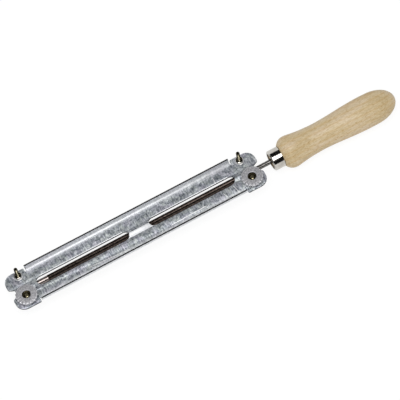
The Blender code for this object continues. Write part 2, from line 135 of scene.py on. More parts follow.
def combine(piece, tool, operation):
    pickOnly(piece)
    boolean = piece.modifiers.new("combine", "BOOLEAN")
    boolean.operation = operation
    boolean.solver = "EXACT"
    boolean.object = tool
    bpy.ops.object.modifier_apply(modifier=boolean.name)
    bpy.data.objects.remove(tool)


def breakEdges(piece, width, fromAngle=35, segments=2):
    pickOnly(piece)
    bevel = piece.modifiers.new("edges", "BEVEL")
    bevel.width = width * mm
    bevel.segments = segments
    bevel.limit_method = "ANGLE"
    bevel.angle_limit = math.radians(fromAngle)
    bpy.ops.object.modifier_apply(modifier=bevel.name)


def arcLine(centre, radius, fromDegrees, toDegrees, steps):
    # (along, radius) points of a quarter round or another arc, angles from the along direction
    line = []
    for step in range(steps + 1):
        angle = math.radians(fromDegrees + (toDegrees - fromDegrees) * step / steps)
        line.append((centre[0] + radius * math.cos(angle), centre[1] + radius * math.sin(angle)))
    return line


def curveThrough(stations, steps):
    # smooth line through all the stations
    points = [Vector(station) for station in stations]
    ends = [2 * points[0] - points[1], *points, 2 * points[-1] - points[-2]]
    line = []
    for a, b, c, d in zip(ends, ends[1:], ends[2:], ends[3:]):
        slope = (c - a) / 2
        bend = a - b * 2.5 + c * 2 - d / 2
        twist = (d - a + (b - c) * 3) / 2
        for step in range(steps):
            t = step / steps
            line.append(b + slope * t + bend * t**2 + twist * t**3)
    line.append(points[-1])
    return [tuple(point) for point in line]


def cadCopy(node, name):
    # a copy of a CAD solid, its loose triangles merged and its flat faces made whole
    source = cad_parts[node]
    piece = bpy.data.objects.new(name, source.data.copy())
    bpy.context.scene.collection.objects.link(piece)
    pickOnly(piece)
    bpy.ops.mesh.customdata_custom_splitnormals_clear()
    bpy.ops.object.mode_set(mode="EDIT")
    bpy.ops.mesh.select_all(action="SELECT")
    bpy.ops.mesh.remove_doubles(threshold=0.001 * mm)
    bpy.ops.mesh.dissolve_limited(angle_limit=math.radians(0.6))
    bpy.ops.object.mode_set(mode="OBJECT")
    piece.data.materials.clear()
    return piece


def markFaces(piece, material, chosen):
    # gives a second finish to the faces that chosen(centre, normal) picks
    piece.data.materials.append(material)
    for face in piece.data.polygons:
        if chosen(face.center / mm, face.normal):
            face.material_index = len(piece.data.materials) - 1


# Finishes


def toLinear(hexCode):
    channels = [int(hexCode[i : i + 2], 16) / 255 for i in (1, 3, 5)]
    return (*[c / 12.92 if c <= 0.04045 else ((c + 0.055) / 1.055) ** 2.4 for c in channels], 1)


def addNode(tree, kind, inputs=None, stops=None, **settings):
    # adds a node, sets it and links what is a socket, or a node by its first output
    node = tree.nodes.new(kind)
    for key, value in settings.items():
        setattr(node, key, value)
    for key, value in (inputs or {}).items():
        if isinstance(value, bpy.types.Node):
            value = value.outputs[0]
        if isinstance(value, bpy.types.NodeSocket):
            tree.links.new(value, node.inputs[key])
        else:
            node.inputs[key].default_value = value
    if stops:
        ramp = node.color_ramp
        while len(ramp.elements) < len(stops):
            ramp.elements.new(0.5)
        for element, (place, colour) in zip(ramp.elements, stops):
            element.position = place
            element.color = toLinear(colour)
    return node


def newFinish(name, colour, metallic, roughness):
    material = bpy.data.materials.new(name)
    material.use_nodes = True
    shader = material.node_tree.nodes["Principled BSDF"]
    shader.inputs["Base Color"].default_value = toLinear(colour)
    shader.inputs["Metallic"].default_value = metallic
    shader.inputs["Roughness"].default_value = roughness
    return material, material.node_tree, shader


def millimetres(tree, centre=(0, 0, 0), stretch=(1, 1, 1)):
    # Object coordinates in millimetres from a centre, so a noise scale is one over a size in mm
    place = addNode(tree, "ShaderNodeTexCoord").outputs["Object"]
    moved = addNode(
        tree,
        "ShaderNodeVectorMath",
        {0: place, 1: [-value * mm for value in centre]},
        operation="ADD",
    ).outputs[0]
    scale = [value / mm for value in stretch]
    return addNode(tree, "ShaderNodeVectorMath", {0: moved, 1: scale}, operation="MULTIPLY").outputs[0]


scribes = {
    # thin bright marking-out lines on the plate's face
    "width": 0.55,
    "depth": 0.3,  # how far from the sheet's top they still show
    "strength": 0.9,
    # middle x, middle y, length, turn in degrees
    "lines": (
        (23.7, -8.9, 8.1, -78),
        (13.9, -8.9, 4.6, -72),
        (12.3, 7.0, 5.6, 86),
        (-87.5, -10.8, 33.6, -3.7),
        (-18.0, -9.8, 30.0, 1.2),
    ),
}

paintedSheetLight = {
    # where painted shade and painted highlights lie on the zinc, in mm from the plate's long middle line
    "shadeBesideSlots": (3.4, 6.6),  # painted shade at the slots, fading outwards
    "shadeBesideShare": 0.4,
    "bendHighlight": (10.2, 13.2),  # painted highlight towards the flanges
    "pastSlots": 2.5,  # how far the painted highlights go on past the slots' ends
    "beadHighlight": (-1.75, 1.85),  # middle and half width of the painted highlight along the bead
    "beadHighlightGain": 1.25,
    "slopeHighlight": (0.5, 0.42),  # middle and half width of the painted highlight on the rolled slope, from the slot's edge
    "lipWidth": 0.3,  # the punched lip, also from the slot's edge
    "highlightShare": 0.65,
    "highlightRoughens": 0.1,
}


def galvanisedSteel():
    # hot-dip galvanised sheet: zinc crystals a few millimetres wide, mottled lilac and blue-grey, with
    # fine bright and dark specks of about a millimetre, streaks across the rolling direction and a
    # satin, uneven gloss; painted highlights lie pale along the bends, the bead and the slots' slopes
    material, tree, shader = newFinish("galvanisedSteel", "#cdd0d6", 0.6, 0.45)
    marks = paintedSheetLight
    place = millimetres(tree)
    # clouds of tint 9 mm across, crystals of 2.5 mm and specks of 1.8 mm and finer
    tint = addNode(tree, "ShaderNodeTexNoise", {"Vector": place, "Scale": 0.11, "Detail": 2.0})
    hue = addNode(
        tree,
        "ShaderNodeValToRGB",
        {0: tint},
        stops=[(0.36, "#efedf5"), (0.47, "#edf1f5"), (0.55, "#edf2ee"), (0.64, "#f5f7fa")],
    )
    spangle = addNode(tree, "ShaderNodeTexVoronoi", {"Vector": place, "Scale": 0.4, "Randomness": 1.0})
    crystal = addNode(
        tree,
        "ShaderNodeValToRGB",
        {0: spangle.outputs["Color"]},
        stops=[(0.1, "#c9cacc"), (0.9, "#ffffff")],
    )
    speck = addNode(
        tree,
        "ShaderNodeTexNoise",
        {"Vector": place, "Scale": 0.55, "Detail": 4.0, "Roughness": 0.7, "Distortion": 0.2},
    )
    mottle = addNode(
        tree,
        "ShaderNodeValToRGB",
        {0: speck},
        stops=[(0.34, "#7f838a"), (0.43, "#c4c7cb"), (0.52, "#f2f3f4"), (0.62, "#ffffff")],
    )
    # streaks of 1 by 5 mm across the plate
    streak = addNode(
        tree,
        "ShaderNodeTexNoise",
        {"Vector": millimetres(tree, stretch=(0.95, 0.2, 0.2)), "Scale": 1.0, "Detail": 3.0},
    )
    brushed = addNode(
        tree,
        "ShaderNodeValToRGB",
        {0: streak},
        stops=[(0.38, "#b6b9bf"), (0.5, "#ecedef"), (0.6, "#ffffff")],
    )
    centred = millimetres(tree, (plateSizes["middleX"], 0, 0))
    spots = addNode(tree, "ShaderNodeSeparateXYZ", {0: centred}).outputs
    away = [addNode(tree, "ShaderNodeMath", {0: axis}, operation="ABSOLUTE").outputs[0] for axis in spots[:2]]
    fades = []
    # painted shade beside the slots, then a painted highlight towards the bends
    for fromY, toY, first, last in (
        (*marks["shadeBesideSlots"], marks["shadeBesideShare"], 0.0),
        (*marks["bendHighlight"], 0.0, 1.0),
    ):
        fade = addNode(
            tree,
            "ShaderNodeMapRange",
            {"Value": away[1], "From Min": fromY, "From Max": toY, "To Min": first, "To Max": last},
        )
        fades.append(fade.outputs[0])
    slotShade, bend = fades
    slotsEnd = plateSizes["slotEnd"] + marks["pastSlots"]
    betweenEnds = addNode(tree, "ShaderNodeMath", {0: away[0], 1: slotsEnd}, operation="LESS_THAN")
    # a painted highlight along the near side of the bead, on the web between the slots
    web = addNode(tree, "ShaderNodeMath", {0: away[0], 1: plateSizes["webHalf"]}, operation="LESS_THAN")
    middle, reach = marks["beadHighlight"]
    side = addNode(tree, "ShaderNodeMath", {0: spots[1], 1: middle, 2: reach}, operation="COMPARE")
    bead = addNode(tree, "ShaderNodeMath", {0: web, 1: side}, operation="MULTIPLY")
    bead = addNode(tree, "ShaderNodeMath", {0: bead, 1: marks["beadHighlightGain"]}, operation="MULTIPLY")
    # and a painted highlight on the slope that the punch rolls along the far straight side of both slots
    straight = 0.0
    for first, last in plateSizes["rollSpans"]:
        span = addNode(
            tree,
            "ShaderNodeMath",
            {0: spots[0], 1: (first + last) / 2 - plateSizes["middleX"], 2: (last - first) / 2},
            operation="COMPARE",
        ).outputs[0]
        straight = addNode(tree, "ShaderNodeMath", {0: straight, 1: span}, operation="MAXIMUM").outputs[0]
    offset, reach = marks["slopeHighlight"]
    slope = addNode(
        tree,
        "ShaderNodeMath",
        {0: spots[1], 1: plateSizes["slotHalf"] + offset, 2: reach},
        operation="COMPARE",
    )
    slope = addNode(tree, "ShaderNodeMath", {0: slope, 1: straight}, operation="MULTIPLY")
    # painted highlights along the bends, the bead and the far slopes, only between the slots' ends
    highlightUnion = addNode(tree, "ShaderNodeMath", {0: bend, 1: bead}, operation="MAXIMUM")
    highlightUnion = addNode(tree, "ShaderNodeMath", {0: highlightUnion, 1: slope}, operation="MAXIMUM")
    highlightZone = addNode(
        tree,
        "ShaderNodeMath",
        {0: highlightUnion, 1: betweenEnds},
        operation="MULTIPLY",
    ).outputs[0]
    paintedHighlight = addNode(tree, "ShaderNodeMath", {0: highlightZone, 1: marks["highlightShare"]}, operation="MULTIPLY")
    # the lip of the punched edge is dark on both sides of the slots: bare steel, with painted shade at the
    # slot's edge
    lipEnd = plateSizes["slotHalf"] + marks["lipWidth"]
    lip = addNode(tree, "ShaderNodeMath", {0: away[1], 1: lipEnd}, operation="LESS_THAN")
    bareAndShade = addNode(tree, "ShaderNodeMath", {0: lip, 1: straight}, operation="MULTIPLY")
    # the zinc's own tones, then painted shade beside the slots, painted highlights, the dark lip and the
    # scribed lines
    layers = [
        (1.0, crystal.outputs[0], "MULTIPLY"),
        (1.0, mottle.outputs[0], "MULTIPLY"),
        (1.0, brushed.outputs[0], "MULTIPLY"),
        (slotShade, toLinear("#5c5e63"), "MIX"),
        (paintedHighlight.outputs[0], toLinear("#f3f4f6"), "MIX"),
        (bareAndShade.outputs[0], toLinear("#1f1e1d"), "MIX"),
        *[(mask, toLinear("#ffffff"), "MIX") for mask in scribeMasks(tree)],
    ]
    colour = hue.outputs[0]
    for factor, layer, blend in layers:
        parts = {0: factor, 6: colour, 7: layer}
        colour = addNode(tree, "ShaderNodeMix", parts, data_type="RGBA", blend_type=blend).outputs[2]
    tree.links.new(colour, shader.inputs["Base Color"])
    gloss = addNode(
        tree,
        "ShaderNodeMapRange",
        {"Value": speck, "From Min": 0.3, "From Max": 0.7, "To Min": 0.38, "To Max": 0.52},
    )
    # rougher where the highlights are painted, which widens them
    satin = addNode(
        tree,
        "ShaderNodeMath",
        {0: highlightZone, 1: marks["highlightRoughens"], 2: gloss},
        operation="MULTIPLY_ADD",
    )
    tree.links.new(satin.outputs[0], shader.inputs["Roughness"])
    bump = addNode(tree, "ShaderNodeBump", {"Height": speck, "Strength": 0.1, "Distance": 0.05 * mm})
    tree.links.new(bump.outputs[0], shader.inputs["Normal"])
    return material


def scribeMasks(tree):
    # each line is a thin box round its own middle, turned its own way, at the height of the sheet's top
    masks = []
    for x, y, length, turn in scribes["lines"]:
        turned = addNode(
            tree,
            "ShaderNodeVectorRotate",
            {"Vector": millimetres(tree, (x, y, 0)), "Angle": -math.radians(turn)},
            rotation_type="Z_AXIS",
        )
        parts = addNode(tree, "ShaderNodeSeparateXYZ", {0: turned})
        box = ((0, length / 2), (0, scribes["width"] / 2), (plateSizes["top"], scribes["depth"]))
        mask = scribes["strength"]
        for part, (middle, reach) in zip(parts.outputs, box):
            inside = addNode(tree, "ShaderNodeMath", {0: part, 1: middle, 2: reach}, operation="COMPARE")
            mask = addNode(tree, "ShaderNodeMath", {0: inside, 1: mask}, operation="MULTIPLY").outputs[0]
        masks.append(mask)
    return masks


def shearedEdge():
    # bare cut edge of the sheet, rough and torn in fine streaks; its near black is partly painted shade, so
    # that the sheet's edges read as shadowed outlines
    material, tree, shader = newFinish("shearedEdge", "#1c1b1a", 0.3, 0.75)
    # real streaks are about 0.1 mm wide; drawn at 0.3 mm so that they show
    tear = addNode(
        tree,
        "ShaderNodeTexNoise",
        {"Vector": millimetres(tree, stretch=(3, 3, 0.8)), "Scale": 1.0},
    )
    shade = addNode(tree, "ShaderNodeValToRGB", {0: tear}, stops=[(0.35, "#0d0d0d"), (0.65, "#2b2a29")])
    tree.links.new(shade.outputs[0], shader.inputs["Base Color"])
    return material


def satinZinc(name, centre):
    # pressed and turned disc, clear zinc: satin, with fine rings round its own axis
    material, tree, shader = newFinish(name, "#c9cacd", 0.62, 0.36)
    place = millimetres(tree, centre)
    flat = addNode(tree, "ShaderNodeVectorMath", {0: place, 1: (1, 1, 0)}, operation="MULTIPLY").outputs[0]
    radius = addNode(tree, "ShaderNodeVectorMath", {0: flat}, operation="LENGTH").outputs["Value"]
    # real turning marks are about 0.1 mm apart; drawn at 0.6 mm so that they show
    ring = addNode(
        tree,
        "ShaderNodeTexNoise",
        {"W": radius, "Scale": 1.7, "Detail": 2.0},
        noise_dimensions="1D",
    )
    speck = addNode(tree, "ShaderNodeTexNoise", {"Vector": place, "Scale": 0.8, "Detail": 2.0})
    both = addNode(tree, "ShaderNodeMath", {0: ring, 1: speck}, operation="ADD")
    mean = addNode(tree, "ShaderNodeMath", {0: both, 1: 0.5}, operation="MULTIPLY")
    shade = addNode(
        tree,
        "ShaderNodeValToRGB",
        {0: mean},
        stops=[(0.4, "#a9a9ae"), (0.5, "#c8c7cb"), (0.6, "#e4e3e6")],
    )
    tree.links.new(shade.outputs[0], shader.inputs["Base Color"])
    bump = addNode(tree, "ShaderNodeBump", {"Height": ring, "Strength": 0.3, "Distance": 0.04 * mm})
    tree.links.new(bump.outputs[0], shader.inputs["Normal"])
    return material


def plainMetal(name, colour, darker, roughness, size, metallic=1.0):
    # a plated or bare metal whose tone and gloss wander a little, over patches of a size in mm
    material, tree, shader = newFinish(name, colour, metallic, roughness)
    cloud = addNode(
        tree,
        "ShaderNodeTexNoise",
        {"Vector": millimetres(tree), "Scale": 1 / size, "Detail": 3.0},
    )
    shade = addNode(tree, "ShaderNodeValToRGB", {0: cloud}, stops=[(0.36, darker), (0.62, colour)])
    tree.links.new(shade.outputs[0], shader.inputs["Base Color"])
    gloss = addNode(
        tree,
        "ShaderNodeMapRange",
        {"Value": cloud, "To Min": roughness * 1.3, "To Max": roughness * 0.7},
    )
    tree.links.new(gloss.outputs[0], shader.inputs["Roughness"])
    return material


def fileSteel():
    # hardened file steel: dark grey-brown where teeth are cut, brighter at its plain tip, and blued grey
    # on the heel and tang
    material, tree, shader = newFinish("fileSteel", "#2a2624", 1.0, 0.3)
    # painted shade: the edge reflection is tinted near black, so the file stays dark where it is seen at a
    # glancing angle
    shader.inputs["Specular Tint"].default_value = toLinear("#1c1a19")
    place = millimetres(tree)
    along = addNode(tree, "ShaderNodeSeparateXYZ", {0: place}).outputs[0]
    # clouds of 2 mm, which also make the borders of the cut wander by half a millimetre
    cloud = addNode(tree, "ShaderNodeTexNoise", {"Vector": place, "Scale": 0.5, "Detail": 3.0})
    wander = addNode(tree, "ShaderNodeMath", {0: cloud, 1: along}, operation="ADD").outputs[0]
    tones = [
        addNode(tree, "ShaderNodeValToRGB", {0: cloud}, stops=[(0.3, darker), (0.7, lighter)]).outputs[0]
        for darker, lighter in (("#352d29", "#655a54"), ("#776e6a", "#9d9490"), ("#666462", "#8a8784"))
    ]
    colour, bright, blued = tones
    plain = 0.0
    for key, side, tone in (("cutFrom", "LESS_THAN", bright), ("cutTo", "GREATER_THAN", blued)):
        end = addNode(tree, "ShaderNodeMath", {0: wander, 1: fileSizes[key] + 0.5}, operation=side).outputs[0]
        colour = addNode(tree, "ShaderNodeMix", {0: end, 6: colour, 7: tone}, data_type="RGBA").outputs[2]
        plain = addNode(tree, "ShaderNodeMath", {0: plain, 1: end}, operation="MAXIMUM").outputs[0]
    tree.links.new(colour, shader.inputs["Base Color"])
    gloss = addNode(tree, "ShaderNodeMapRange", {"Value": plain, "To Min": 0.22, "To Max": 0.24})
    tree.links.new(gloss.outputs[0], shader.inputs["Roughness"])
    return material


def beech():
    # turned beech under a thin satin varnish: pale straw, soft clouds and fine fibres along the handle,
    # short darker rays and a few faint growth lines
    material, tree, shader = newFinish("beech", "#d4bd92", 0.0, 0.48)
    shader.inputs["Coat Weight"].default_value = 0.1
    shader.inputs["Coat Roughness"].default_value = 0.35
    # fibres 0.6 mm wide, clouds of 10 by 29 mm and rays of 2 mm
    fibre = addNode(
        tree,
        "ShaderNodeTexNoise",
        {"Vector": millimetres(tree, stretch=(0.3, 1.6, 1.6)), "Scale": 1.0, "Detail": 3.0, "Roughness": 0.6},
    )
    cloud = addNode(
        tree,
        "ShaderNodeTexNoise",
        {"Vector": millimetres(tree, stretch=(0.035, 0.1, 0.1)), "Scale": 1.0, "Detail": 2.0},
    )
    ray = addNode(
        tree,
        "ShaderNodeTexNoise",
        {"Vector": millimetres(tree, stretch=(0.5, 1.6, 0.6)), "Scale": 1.0, "Detail": 1.0},
    )
    base = addNode(
        tree,
        "ShaderNodeValToRGB",
        {0: cloud},
        stops=[(0.36, "#cab68f"), (0.48, "#d1be99"), (0.6, "#d6c4a6")],
    )
    fine = addNode(tree, "ShaderNodeValToRGB", {0: fibre}, stops=[(0.36, "#e9e2d4"), (0.58, "#ffffff")])
    # growth rings about 4 mm apart round the tree's middle, which lies outside the handle
    rings = addNode(
        tree,
        "ShaderNodeTexWave",
        {
            "Vector": millimetres(tree, (80, 22, 40), (0.12, 1, 1)),
            "Scale": 0.08,
            "Distortion": 4.0,
            "Detail": 2.0,
            "Detail Scale": 0.6,
        },
        wave_type="RINGS",
        rings_direction="X",
    )
    warm = addNode(
        tree,
        "ShaderNodeValToRGB",
        {0: rings},
        stops=[(0.0, "#ffffff"), (0.8, "#fffaf0"), (1.0, "#f5e3c4")],
    )
    rays = addNode(tree, "ShaderNodeValToRGB", {0: ray}, stops=[(0.32, "#dccaa8"), (0.4, "#ffffff")])
    colour = base.outputs[0]
    for share, layer in ((1.0, fine), (0.5, warm), (0.6, rays)):
        parts = {0: share, 6: colour, 7: layer}
        colour = addNode(tree, "ShaderNodeMix", parts, data_type="RGBA", blend_type="MULTIPLY").outputs[2]
    tree.links.new(colour, shader.inputs["Base Color"])
    bump = addNode(tree, "ShaderNodeBump", {"Height": fibre, "Strength": 0.2, "Distance": 0.05 * mm})
    tree.links.new(bump.outputs[0], shader.inputs["Normal"])
    return material


# Guide plate

plateSizes = {
    "underside": 14.2,
    "top": 15.4,
    "flangeTop": 19.3,
    "flatHalf": 12.75,
    "slotHalf": 3.6,
    "slotEnd": 85.7,
    "webHalf": 20.0,
    "middleX": -59.0,
    "rollWidth": 0.9,  # how far the punch's slope reaches from a slot's edge
    "rollTilt": 20.0,
    "rollSpans": ((-140.6, -69.2), (-43.8, 22.6)),
    "cutterLength": 3.0,
    "cutterStart": 0.3,
    "cutterHeight": 1.0,
    "edge": 0.1,
}


def guidePlate():
    # the CAD sheet with its punched edges rolled over at the top and its cut faces drawn dark, partly as
    # painted shade
    size = plateSizes
    plate = cadCopy("guide_plate", "guidePlate")
    # the punch draws the long edges down: a slope along each side of both slots
    tilt = math.radians(size["rollTilt"])
    down = size["cutterLength"] / 2 - size["cutterStart"]
    rise = size["cutterHeight"] / 2
    for first, last in size["rollSpans"]:
        for side in (1, -1):
            along = Vector((0, side * math.cos(tilt), math.sin(tilt)))
            out = Vector((0, -side * math.sin(tilt), math.cos(tilt)))
            edge = Vector(((first + last) / 2, side * (size["slotHalf"] + size["rollWidth"]), size["top"]))
            dropSelection()
            bpy.ops.mesh.primitive_cube_add(
                size=1,
                location=(edge - along * down + out * rise) * mm,
                rotation=(side * tilt, 0, 0),
                scale=((last - first) * mm, size["cutterLength"] * mm, size["cutterHeight"] * mm),
            )
            combine(plate, bpy.context.object, "DIFFERENCE")
    breakEdges(plate, size["edge"], 50)
    plate.data.materials.append(finishes["galvanised"])

    def isCut(centre, normal):
        # the sheet's side faces, and the top and ends of the flanges
        upright = abs(normal.z) < 0.3
        low = size["underside"] + size["edge"] < centre.z < size["top"] - size["edge"]
        flangeTop = centre.z > size["flangeTop"] - 0.12
        flangeEnd = abs(normal.x) > 0.9 and abs(centre.y) > size["flatHalf"]
        return (upright and low) or flangeTop or flangeEnd

    markFaces(plate, finishes["sheared"], isCut)
    settle(plate, "guidePlate", 40)
    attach(plate, "guide")
    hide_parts("guide_plate")
    print("guide plate:", len(plate.data.polygons), "faces")


# Round file

fileSizes = {
    "tip": -160.0,
    "cutFrom": -135.5,
    "cutTo": 28.0,
    "shoulder": 40.0,
    "tangFull": 44.0,
    "tangTaper": 58.0,
    "tangPoint": 88.0,
    "tangEnd": 91.0,
    "crest": 2.4,
    "root": 2.26,
    "plain": 2.25,
    "tangRadius": 1.85,
    "pointRadius": 1.2,
    "chamfer": 0.7,
    "tipEdge": 0.2,
    "endOverlap": (0.5, 0.7),  # where the plain ends stop and where the core under the teeth begins
    "undercut": 0.25,
    "heelSlope": (1.6, 0.12),
    "pointRound": 0.6,
    "roundShare": 0.55,
    "cutStarts": 11,  # spiral cuts side by side
    "toothLine": (0.0, 0.3, 0.6, 1.0, 0.55),  # how deep a cut is at each of its points
    "lead": 8.0,  # length in which one spiral goes round once
    "stepsPerTurn": 24,
    "sides": 48,
}


def roundFile():
    size = fileSizes
    plain = size["plain"]
    plainEnd, coreStart = size["endOverlap"]
    under = plain - size["undercut"]
    slopeLength, slopeDrop = size["heelSlope"]
    core = turnedPiece(
        "fileCore",
        [
            (size["tip"], 0),
            (size["tip"], plain - size["chamfer"]),
            (size["tip"] + size["tipEdge"], plain - size["chamfer"] * size["roundShare"]),
            (size["tip"] + size["chamfer"], plain),
            (size["cutFrom"] + plainEnd, plain),
            (size["cutFrom"] + coreStart, under),
            (size["cutTo"] - coreStart, under),
            (size["cutTo"] - plainEnd, plain),
            (size["shoulder"], plain),
            (size["shoulder"] + slopeLength, plain - slopeDrop),
            (size["tangFull"], size["tangRadius"]),
            (size["tangTaper"], size["tangRadius"]),
            (size["tangPoint"], size["pointRadius"]),
            (size["tangEnd"] - size["pointRound"], size["pointRadius"] * size["roundShare"]),
            (size["tangEnd"], 0),
        ],
        (0, 0, axisHeight),
        (1, 0, 0),
        (0, 0, 1),
        size["sides"],
    )
    # the toothed section, which the Screw modifier twists along the file
    points = len(size["toothLine"])
    middle = (size["cutFrom"] * mm, 0, axisHeight * mm)
    dropSelection()
    bpy.ops.mesh.primitive_circle_add(
        vertices=size["cutStarts"] * points,
        radius=size["crest"] * mm,
        fill_type="NOTHING",
        location=middle,
        rotation=(0, math.pi / 2, 0),
    )
    teeth = bpy.context.object
    bpy.ops.object.transform_apply(location=False, rotation=True, scale=False)
    depth = size["crest"] - size["root"]
    for place, share in enumerate(size["toothLine"]):
        factor = 1 - share * depth / size["crest"]
        chooseVertices(teeth, lambda vertex: vertex.index % points == place)
        bpy.ops.transform.resize(value=(1, factor, factor), center_override=middle)
        bpy.ops.object.mode_set(mode="OBJECT")
    length = size["cutTo"] - size["cutFrom"]
    turns = length / size["lead"]
    twist = teeth.modifiers.new("twist", "SCREW")
    twist.axis = "X"
    twist.angle = 2 * math.pi * turns
    twist.screw_offset = length * mm
    twist.steps = round(size["stepsPerTurn"] * turns)
    twist.render_steps = twist.steps
    bpy.ops.object.modifier_apply(modifier=twist.name)
    fillGaps(teeth)
    closeUp(teeth)
    combine(core, teeth, "UNION")
    core.data.materials.clear()
    core.data.materials.append(finishes["file"])
    settle(core, "roundFile", 28)
    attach(core, "file")
    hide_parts("round_file")
    print("round file:", len(core.data.polygons), "faces")


# Ferrule and handle

ferruleSizes = {
    "front": 58.0,
    "length": 9.0,
    "radius": 8.3,
    "wall": 0.7,
    "lip": 1.3,
    "lipEdge": 0.25,
    "roll": 1.4,
    "backEdge": 0.2,
    "sides": 96,
}


def ferrule():
    size = ferruleSizes
    outer = size["radius"]
    inner = outer - size["wall"]
    mouth = inner - size["lip"]
    roll = size["roll"]
    outline = [(size["lipEdge"], mouth), (0.0, mouth + size["lipEdge"])]
    outline += arcLine((roll, outer - roll), roll, 180, 90, 12)
    outline += [
        (size["length"] - size["backEdge"], outer),
        (size["length"], outer - size["backEdge"]),
        (size["length"], inner),
        (roll, inner),
        (size["wall"], inner - size["lip"] / 2),
        (size["wall"], mouth),
        (size["lipEdge"], mouth),
    ]
    front = (size["front"], 0, axisHeight)
    ring = turnedPiece("nickelFerrule", outline, front, (1, 0, 0), (0, 0, 1), size["sides"])
    ring.data.materials.append(finishes["nickel"])
    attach(ring, "grip")
    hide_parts("ferrule")
    print("ferrule:", len(ring.data.polygons), "faces")


handleSizes = {
    "start": 67.0,
    "length": 100.0,
    "radius": 13.0,
    "boreEnd": 26.0,
    "boreBottom": (21.0, 1.5),
    "boreMouth": 2.15,
    "tenonFrom": -8.0,
    "tenonRadius": 7.3,
    "tenonNose": 6.6,
    "tenonTaper": 1.4,
    "face": 0.3,  # the gap behind the ferrule
    "sides": 96,
    "endSteps": 18,
    # shares of the length and of the radius
    "outline": [
        (0.0, 0.66),
        (0.016, 0.82),
        (0.046, 0.962),
        (0.082, 1.0),
        (0.14, 0.94),
        (0.21, 0.876),
        (0.28, 0.846),
        (0.345, 0.838),
        (0.45, 0.872),
        (0.575, 0.945),
        (0.68, 0.985),
        (0.75, 0.992),
        (0.8, 0.985),
    ],
}


def handle():
    size = handleSizes
    length = size["length"]
    face = size["face"]
    stations = [
        (along * length + face * (1 - along), wide * size["radius"]) for along, wide in size["outline"]
    ]
    outline = [
        (size["boreEnd"], 0),
        size["boreBottom"],
        (size["tenonFrom"], size["boreMouth"]),
        (size["tenonFrom"], size["tenonNose"]),
        (size["tenonFrom"] + size["tenonTaper"], size["tenonRadius"]),
        (face, size["tenonRadius"]),
    ]
    outline += curveThrough(stations, 6)
    # the end is a quarter of an ellipse from the last station
    lastAlong, lastWide = stations[-1]
    for step in range(1, size["endSteps"]):
        angle = math.radians(90 * step / size["endSteps"])
        outline.append((lastAlong + (length - lastAlong) * math.sin(angle), lastWide * math.cos(angle)))
    outline.append((length, 0))
    start = (size["start"], 0, axisHeight)
    grip = turnedPiece("beechHandle", outline, start, (1, 0, 0), (0, 0, 1), size["sides"])
    grip.data.materials.append(finishes["beech"])
    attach(grip, "grip")
    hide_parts("handle")
    print("handle:", len(grip.data.polygons), "faces")


# Clamps

clampPlaces = {
    "tip": {"screw": (-156.5, -7.5), "stud": (-155.0, 11.2)},
    "tang": {"screw": (38.5, -7.5), "stud": (37.0, 11.2)},
}

screwSizes = {
    "headUnder": 10.2,
    "headHeight": 2.1,
    "headRadius": 2.9,
    "major": 1.49,
    "minor": 1.23,
    "pitch": 0.5,
    "threadLine": (1, 4.4, 5.6, 9),  # tenths of the pitch: root, crest, crest, root
    "neck": 1.0,
    "neckRadius": 1.52,
    "neckHides": 0.4,  # length of thread inside the neck, so that the two join
    "neckEnd": 0.5,  # the neck's flat end, from where its thread starts
    "chamfer": 0.4,
    "clampTip": 19.7,
    "studTip": 29.2,
    "driveWidth": 0.8,
    "driveDepth": 1.0,
    "driveLength": 8.0,
    "stepsPerTurn": 20,
    "sides": 40,
}


def windThread(place, low, tip):
    # one turn of the profile wound up past both ends, then cut flat at low and tip
    size = screwSizes
    x, y = place
    pitch = size["pitch"]
    turns = math.ceil((tip - low) / pitch) + 2
    start = low - pitch
    step = pitch / 10
    rootEnd, crest, crestEnd, root = (step * share for share in size["threadLine"])
    line = [
        (size["minor"], 0),
        (size["minor"], rootEnd),
        (size["major"], crest),
        (size["major"], crestEnd),
        (size["minor"], root),
        (size["minor"], pitch),
    ]
    points = [Vector((x + radius, y, start + rise)) * mm for radius, rise in line]
    thread = drawLine(points)
    # the screw goes round the object's own origin, so that moves to the screw's axis
    bpy.context.scene.cursor.location = (x * mm, y * mm, 0)
    bpy.ops.object.origin_set(type="ORIGIN_CURSOR")
    wind = thread.modifiers.new("wind", "SCREW")
    wind.axis = "Z"
    wind.angle = 2 * math.pi
    wind.screw_offset = pitch * mm
    wind.iterations = turns
    wind.steps = size["stepsPerTurn"]
    wind.render_steps = size["stepsPerTurn"]
    wind.use_merge_vertices = True
    wind.merge_threshold = 0.004 * mm
    bpy.ops.object.modifier_apply(modifier=wind.name)
    closeUp(thread)
    for height, away in ((low, -1), (tip, 1)):
        bpy.ops.object.mode_set(mode="EDIT")
        bpy.ops.mesh.select_all(action="SELECT")
        bpy.ops.mesh.bisect(
            plane_co=(x * mm, y * mm, height * mm),
            plane_no=(0, 0, away),
            clear_outer=True,
        )
        bpy.ops.object.mode_set(mode="OBJECT")
    closeUp(thread)
    # the cut's own fill misses outlines this small, and a boolean on an open thread can lose the head
    fillGaps(thread)
    closeUp(thread)
    return thread


